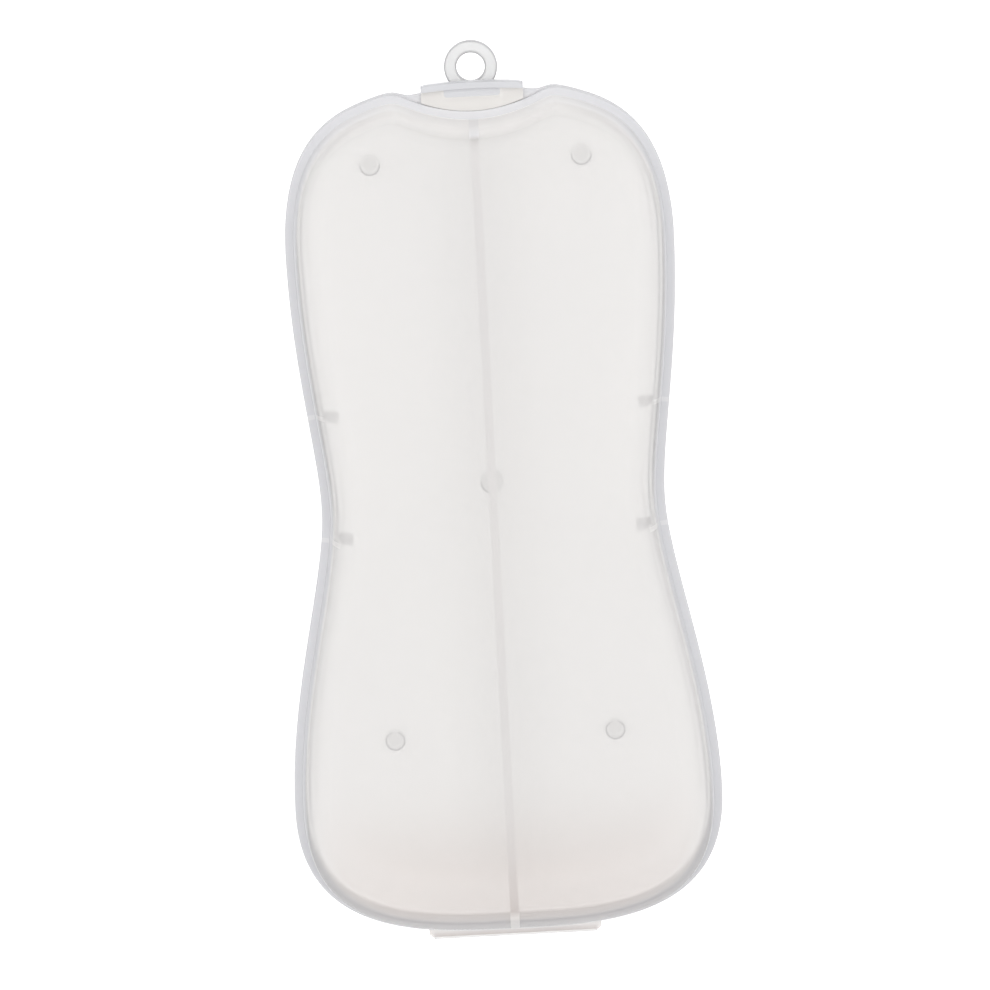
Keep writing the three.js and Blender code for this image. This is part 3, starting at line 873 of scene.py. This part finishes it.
class CASE_OT_base(bpy.types.Operator):
    """Builds the base tray with its rim, lip, hinge leaf, gate disc and latch slot"""

    bl_idname = "utensil_case.base"
    bl_label = "Base Shell"

    def execute(self, context):
        lv = Levels(context.scene)
        s, d = lv.s, lv.d
        profile = rounded(base_corners(lv))
        looks = rim_looks(lv, profile, (), False)
        base = mesh_object("base_tray", *sweep(lv, profile, NEAR_EDGE * s.edge), looks)
        low, high = lv.parting - s.rim + LEAF_RELIEF, lv.parting - LEAF_RELIEF
        combine(base, leaf(lv, "base_leaf", low, high), "UNION")
        outer = lv.o.rim_length - HOOK_SETBACK + 2 * SLOT_GAP
        inner = outer - d.hook - 3 * SLOT_GAP
        half = d.hook_half_width + SLOT_GAP
        plan = lv.plan(((-half, inner), (half, inner), (half, outer), (-half, outer)))
        combine(base, prism("slot", plan, lv.parting - 2 * s.rim, lv.parting + s.rim), "DIFFERENCE")
        finish_piece(base, shell_material(lv.f, "Base plastic"), "base", "base_plastic", "base_shell")
        names, low = ("gate_disc", "gate_shade_arc"), s.foot_height - GATE_HEIGHT
        place = (0, lv.place(lv.middle))
        boss(lv, names, GATE_RADIUS, low, GATE_STEPS, GATE_DIMPLE, place, GATE_ARC)
        return {"FINISHED"}


class CASE_OT_lid(bpy.types.Operator):
    """Builds the lid with its rim, finger scoop and hinge leaf"""

    bl_idname = "utensil_case.lid"
    bl_label = "Lid Shell"

    def execute(self, context):
        lv = Levels(context.scene)
        s, d = lv.s, lv.d
        profile = rounded(lid_corners(lv), 8)
        above = lv.lid + s.lid_rim
        # Painted shade at the rim's outer corner and, fainter, its inner corner, towards the hinge
        # end.
        shaded_creases = ((s.lid_rim_width, above, 1), (lv.lid_inner, lv.lid, 0.4))
        looks = rim_looks(lv, profile, shaded_creases, True)
        lid = mesh_object("lid_cover", *sweep(lv, profile, -1), looks)
        combine(lid, leaf(lv, "lid_leaf", lv.lid + LEAF_RELIEF, above - LEAF_RELIEF), "UNION")
        finish_piece(lid, shell_material(lv.f, "Lid plastic"), "lid", "lid_plastic", "lid_shell")
        return {"FINISHED"}


def inside_profile(lv):
    """Section of the space between floor and ceiling, kept clear of both shells."""
    s, gap = lv.s, lv.s.fit_gap
    foot = lv.base_inner + s.base_draft + gap
    run = s.base_corner - s.base_wall / 2
    top = lv.lid_inner + s.lid_draft + 2 * gap
    top_run = s.lid_corner - s.lid_wall / 2
    over_lip = lv.parting + s.lip_height + gap
    return rounded((
        (foot + run + s.lid_corner, lv.floor, 0),
        (foot, lv.floor, run),
        (lv.base_inner + gap, over_lip, s.edge / 3),
        (lv.lid_inner + 2 * gap + s.lid_draft / 5, over_lip + gap, s.edge / 3),
        (top, lv.ceiling - 2 * gap, top_run),
        (top + top_run + s.lid_corner, lv.ceiling - 2 * gap, 0),
    ))


class CASE_OT_divider(bpy.types.Operator):
    """Builds the wall along the middle of the case"""

    bl_idname = "utensil_case.divider"
    bl_label = "Divider"

    def execute(self, context):
        lv = Levels(context.scene)
        half, end, f = lv.d.divider / 2, lv.o.rim_length, lv.f
        wall = mesh_object("divider_wall", *sweep(lv, inside_profile(lv), -1))
        plan = lv.plan(((-half, 0), (half, 0), (half, end), (-half, end)))
        combine(wall, prism("slab", plan, 0, lv.top), "INTERSECT")
        round_edges(wall, DIVIDER_EDGE, 2)
        side = frosted("Divider plastic", (f.shell_tint,) * 3, f.roughness)
        edge = frosted("Divider edge", (f.divider_tint,) * 3, f.roughness)
        finish_piece(wall, side, "base", "divider_plastic", "center_divider")
        low = lv.parting + lv.s.lip_height
        second_finish(wall, edge, lambda p: p.center.z > low and p.normal.z > 0.2)
        return {"FINISHED"}


def rib_places(lv):
    """Stations of the two pairs of ribs."""
    centre = lv.waist_y + RIB_SHIFT
    return {"ring": centre + lv.d.rib_pitch / 2, "hinge": centre - lv.d.rib_pitch / 2}


class CASE_OT_ribs(bpy.types.Operator):
    """Builds the four thin ribs inside the lid at the waist"""

    bl_idname = "utensil_case.ribs"
    bl_label = "Lid Ribs"

    def execute(self, context):
        lv = Levels(context.scene)
        material = frosted("Rib plastic", (lv.f.rib_tint,) * 3, lv.f.roughness)
        for end, y in rib_places(lv).items():
            for side, word in SIDES:
                rib = self.rib(lv, side, y, f"rib_plate_{end}_{word}")
                finish_piece(rib, material, "lid", "rib_plastic", f"rib_{end}_{word}")
        return {"FINISHED"}

    def rib(self, lv, side, y, name):
        """One rib: a plate cut to the inside of the lid, its free corner rounded."""
        d, s, gap = lv.d, lv.s, lv.s.fit_gap
        rim = lv.half_width(y)
        inner = rim - lv.lid_inner - s.lid_draft / 2 - d.rib_reach
        low = lv.ceiling - d.rib_drop
        plan = [(rim, lv.top), (inner, lv.top)]
        for t in np.linspace(0, 1, 9):
            plan.append((inner + RIB_CORNER * t * t, low + RIB_CORNER * (1 - t) ** 2))
        plan = [(side * x, z) for x, z in (*plan, (rim, low))]
        back = lv.place(y) - d.rib / 2
        plate = prism(name, plan, back, back + d.rib, "Y")
        top, run = lv.lid_inner + s.lid_draft + gap, s.lid_corner - s.lid_wall / 2
        high = lv.ceiling - gap
        space = rounded(((lv.lid_inner + gap, lv.lid, 0), (top, high, run), (top + run, high, 0)))
        combine(plate, mesh_object("lid_space", *sweep(lv, space, -1)), "INTERSECT")
        round_edges(plate, RIB_EDGE, 2)
        return plate


class CASE_OT_feet(bpy.types.Operator):
    """Builds the four round feet"""

    bl_idname = "utensil_case.feet"
    bl_label = "Feet"

    def execute(self, context):
        lv = Levels(context.scene)
        d, o = lv.d, lv.o
        places = {
            "ring": (o.ring_lobe * d.ring_foot_share, o.rim_length - d.ring_foot_setback),
            "hinge": (o.hinge_lobe * d.hinge_foot_share, d.hinge_foot_setback),
        }
        for end, (x, y) in places.items():
            for side, word in SIDES:
                names = (f"foot_{end}_{word}_boss", f"foot_shade_arc_{end}_{word}")
                place, foot = (side * x, lv.place(y)), f"foot_{end}_{word}"
                boss(lv, names, d.foot, 0, FOOT_STEPS, FOOT_DIMPLE, place, FOOT_ARCS[end], foot)
        return {"FINISHED"}


class CASE_OT_ring(bpy.types.Operator):
    """Builds the hang ring"""

    bl_idname = "utensil_case.ring"
    bl_label = "Hang Ring"

    def execute(self, context):
        lv = Levels(context.scene)
        d, f = lv.d, lv.f
        middle, half = (d.ring + d.ring_hole) / 2, (d.ring - d.ring_hole) / 2
        tall, run = d.ring_thickness / 2, RING_EDGE
        around = ((half, tall, run), (half, -tall, run), (-half, -tall, run), (-half, tall, run))
        section = rounded(((0, tall, 0), *around, (0, tall, 0)), 8)[:-1]
        ring = lathe("hang_eye", [[(middle + p.x, p.y) for p in section]] * RING_STEPS)
        wide, reach = d.ring * 1.1, d.ring_reach
        keep = ((-wide, -reach), (wide, -reach), (wide, wide), (-wide, wide))
        combine(ring, prism("keep", keep, -tall * 2, tall * 2), "INTERSECT")
        ring.location = (0, lv.place(lv.ring_centre), lv.parting - LEAF_RELIEF - tall)
        flat = frosted("Ring plastic", (f.ring_tint,) * 3, f.ring_roughness)
        # Painted shade: the rounded sides take a darker copy of the ring's finish.
        edge = frosted("Ring side shade", (f.ring_side_shade_tint,) * 3, f.ring_roughness)
        finish_piece(ring, flat, "base", "ring_plastic", "hang_ring")
        second_finish(ring, edge, lambda p: abs(p.normal.z) < 0.85)
        return {"FINISHED"}


class CASE_OT_latch(bpy.types.Operator):
    """Builds the latch tab with its bar and hook"""

    bl_idname = "utensil_case.latch"
    bl_label = "Latch Tab"

    def execute(self, context):
        lv = Levels(context.scene)
        o, s, d, f = lv.o, lv.s, lv.d, lv.f
        half, wide = d.latch_half_width, d.hook_half_width
        outer = o.rim_length + LATCH_OVERHANG
        inner = outer - d.latch_bar
        plan = [(half, outer - d.latch_bar / 2), (-half, outer - d.latch_bar / 2)]
        for x in np.linspace(-half, half, 33):
            plan.append((x, o.rim_length + float(lv.shoulder(x) - lv.scoop(x)) + s.fit_gap / 6))
        tab = prism("latch_plate", lv.plan(plan), lv.lid, lv.lid + d.latch_plate)
        plan = [(x, inner - LATCH_BOW * (x / half) ** 2) for x in np.linspace(-half, half, 25)]
        for x in half * np.sin(np.linspace(math.pi / 2, -math.pi / 2, 41)):
            corner = max(abs(x) - half + LATCH_CORNER, 0)
            drop = LATCH_CORNER - math.sqrt(max(LATCH_CORNER**2 - corner**2, 0))
            plan.append((x, outer - LATCH_BOW * (x / half) ** 2 - drop))
        combine(tab, prism("bar", lv.plan(plan), lv.lid, lv.lid + d.latch_bar_height), "UNION")
        low, cut = inner - d.hook - 2 * SLOT_GAP, SLOT_GAP
        plan = [(wide, inner), (wide, low + cut), (wide - cut, low)]
        plan = lv.plan(plan + [(-x, y) for x, y in plan[::-1]])
        mid, top = lv.lid + d.latch_plate / 2, lv.lid + d.latch_plate
        combine(tab, prism("head", plan, mid, top + s.edge / 2), "UNION")
        front = lv.place(o.rim_length - HOOK_SETBACK)
        back, barb = front - d.hook, front - d.hook - BARB_REACH
        low = lv.parting - s.rim - BARB_PLAY - BARB_HEIGHT
        section = (
            (front, mid),
            (back, mid),
            (back, low + BARB_HEIGHT),
            (barb, low + BARB_HEIGHT * 0.8),
            (barb, low + BARB_HEIGHT * 0.4),
            (back, low),
            (front, low),
        )
        combine(tab, prism("hook", section, -wide, wide, "X"), "UNION")
        round_edges(tab, LATCH_EDGE, 3, 40)
        tints = (f.plate_tint, f.plate_tint, f.edge_tint)
        plate = frosted("Latch plastic", tints, f.roughness)
        seam = frosted("Latch seam", tints, f.roughness)
        bar = frosted("Latch bar", (f.latch_tint, f.latch_tint, f.edge_tint), f.roughness)
        finish_piece(tab, plate, "latch", "latch_plastic", "latch_tab")
        over, within = top + s.edge / 10, lv.place(inner - LATCH_BOW)
        second_finish(tab, bar, lambda p: p.center.z > over or p.center.y > within)
        second_finish(tab, seam, lambda p: p.center.z > lv.lid and p.normal.y < -0.5
                      and p.center.y < front + s.edge)
        return {"FINISHED"}


class CASE_OT_hinge(bpy.types.Operator):
    """Builds the folded web that joins the two leaves"""

    bl_idname = "utensil_case.hinge"
    bl_label = "Hinge Web"

    def execute(self, context):
        lv = Levels(context.scene)
        d, f = lv.d, lv.f
        axis_z = lv.parting + lv.s.parting_gap / 2
        outer, bore = d.web_bore + d.web, d.web_bore
        half = d.leaf_half_width - LEAF_CHAMFER - WEB_MARGIN
        root = lv.place(-d.leaf_reach)
        section = []
        for radius, order in ((outer, range(FOLD_STEPS + 1)), (bore, range(FOLD_STEPS, -1, -1))):
            for k in order:
                turn = math.pi * k / FOLD_STEPS
                section.append((root - radius * math.sin(turn), axis_z - radius * math.cos(turn)))
        web = prism("web_strip", section, -half, half, "X")
        round_edges(web, WEB_EDGE, 2)
        smooth(web)
        tints = (f.shell_tint, f.rim_tint, f.rim_tint)
        material = frosted("Hinge plastic", tints, f.roughness, grazing=WEB_GRAZING)
        web.data.materials.append(material)
        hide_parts("hinge_web")
        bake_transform(web)
        return {"FINISHED"}


# Stage

FLOOR_HALF = 6.0
LAMP_WIDTH = 1.2
CAMERA_DISTANCE = 1.0
CAMERA_REACH = 20
LAMP_PLACE = (0, 0.35, 1.2)
AIM = (0.00042, 0.0007, 0.0143)
PICTURE_WIDTH = 990
SENSOR_WIDTH = 36


class CASE_OT_stage(bpy.types.Operator):
    """Sets the floor, the lamp, the world and the camera"""

    bl_idname = "utensil_case.stage"
    bl_label = "Stage"

    def execute(self, context):
        scene = context.scene
        g = scene.case_stage
        self.floor(g)
        self.world(scene, g)
        self.lamp(scene, g)
        self.camera(scene, g)
        scene.view_settings.view_transform = "Standard"
        return {"FINISHED"}

    def floor(self, g):
        """A wide pale floor that reads as white and keeps the shadow."""
        plan = ((-1, -1), (1, -1), (1, 1), (-1, 1))
        corners = [(FLOOR_HALF * x, FLOOR_HALF * y, 0) for x, y in plan]
        floor = mesh_object("floor", corners, [(0, 1, 2, 3)])
        material = bpy.data.materials.new("Pale floor")
        material.use_nodes = True
        tree = material.node_tree
        finish = {
            "Base Color": (*g.ground_tint, 1),
            "Roughness": 0.9,
            "Specular IOR Level": 0.1,
            "Emission Color": colour_mix(tree, seen_share(tree), BLACK, (*g.glow_tint, 1)),
            "Emission Strength": 1,
        }
        for title, value in finish.items():
            feed(tree, tree.nodes["Principled BSDF"].inputs[title], value)
        floor.data.materials.append(material)

    def world(self, scene, g):
        """Even light all round, and white where the camera sees past the floor."""
        scene.world = bpy.data.worlds.new("Soft white")
        scene.world.use_nodes = True
        tree = scene.world.node_tree
        even = tree.nodes["Background"]
        even.inputs["Color"].default_value = WHITE
        even.inputs["Strength"].default_value = g.world
        white = node(tree, "Background", {"Color": WHITE, "Strength": 1})
        first, second = (light.outputs["Background"] for light in (even, white))
        pick = node(tree, "MixShader", {"Fac": seen_share(tree), 1: first, 2: second})
        feed(tree, tree.nodes["World Output"].inputs["Surface"], pick.outputs["Shader"])

    def lamp(self, scene, g):
        """One wide soft lamp overhead."""
        light = bpy.data.lights.new("Overhead lamp", "AREA")
        light.shape = "SQUARE"
        light.size = LAMP_WIDTH
        light.energy = g.lamp
        lamp = bpy.data.objects.new("Overhead lamp", light)
        lamp.location = LAMP_PLACE
        lamp.rotation_euler = (-math.atan2(*LAMP_PLACE[1:]), 0, 0)
        scene.collection.objects.link(lamp)

    def camera(self, scene, g):
        """The photograph's camera: above the case, leaning towards the ring."""
        data = bpy.data.cameras.new("Camera")
        camera = bpy.data.objects.new("Camera", data)
        scene.collection.objects.link(camera)
        data.sensor_width = SENSOR_WIDTH
        data.lens = g.pixels_per_metre * CAMERA_DISTANCE / PICTURE_WIDTH * SENSOR_WIDTH
        data.clip_end = CAMERA_REACH
        turned = Matrix.Rotation(-g.lean, 4, "X") @ Matrix.Rotation(-g.roll, 4, "Z")
        back = Matrix.Translation((0, 0, CAMERA_DISTANCE))
        camera.matrix_world = Matrix.Translation(AIM) @ turned @ back
        scene.camera = camera


OPERATORS = (
    CASE_OT_base,
    CASE_OT_lid,
    CASE_OT_divider,
    CASE_OT_ribs,
    CASE_OT_feet,
    CASE_OT_ring,
    CASE_OT_latch,
    CASE_OT_hinge,
    CASE_OT_stage,
)


class CASE_PT_panel(bpy.types.Panel):
    """Lists the pieces and their settings"""

    bl_idname = "CASE_PT_panel"
    bl_label = "Utensil Case"
    bl_space_type = "VIEW_3D"
    bl_region_type = "UI"
    bl_category = "Utensil Case"

    def draw(self, context):
        layout = self.layout
        for operator in OPERATORS:
            layout.operator(operator.bl_idname)
        for group in SETTINGS:
            box = layout.box()
            settings = getattr(context.scene, group)
            box.label(text=type(settings).__doc__)
            for name in settings.bl_rna.properties.keys():
                if name not in ("rna_type", "name"):
                    box.prop(settings, name)


def register():
    """Registers the settings, the operators and the panel."""
    for name, group in SETTINGS.items():
        bpy.utils.register_class(group)
        setattr(bpy.types.Scene, name, PointerProperty(type=group))
    for item in (*OPERATORS, CASE_PT_panel):
        bpy.utils.register_class(item)


def unregister():
    """Removes what register added."""
    for item in (CASE_PT_panel, *reversed(OPERATORS)):
        bpy.utils.unregister_class(item)
    for name, group in SETTINGS.items():
        delattr(bpy.types.Scene, name)
        bpy.utils.unregister_class(group)


def main():
    """Registers the add-on and builds every piece and the stage."""
    register()
    for operator in OPERATORS:
        family, name = operator.bl_idname.split(".")
        getattr(getattr(bpy.ops, family), name)()


if __name__ == "__main__":
    main()
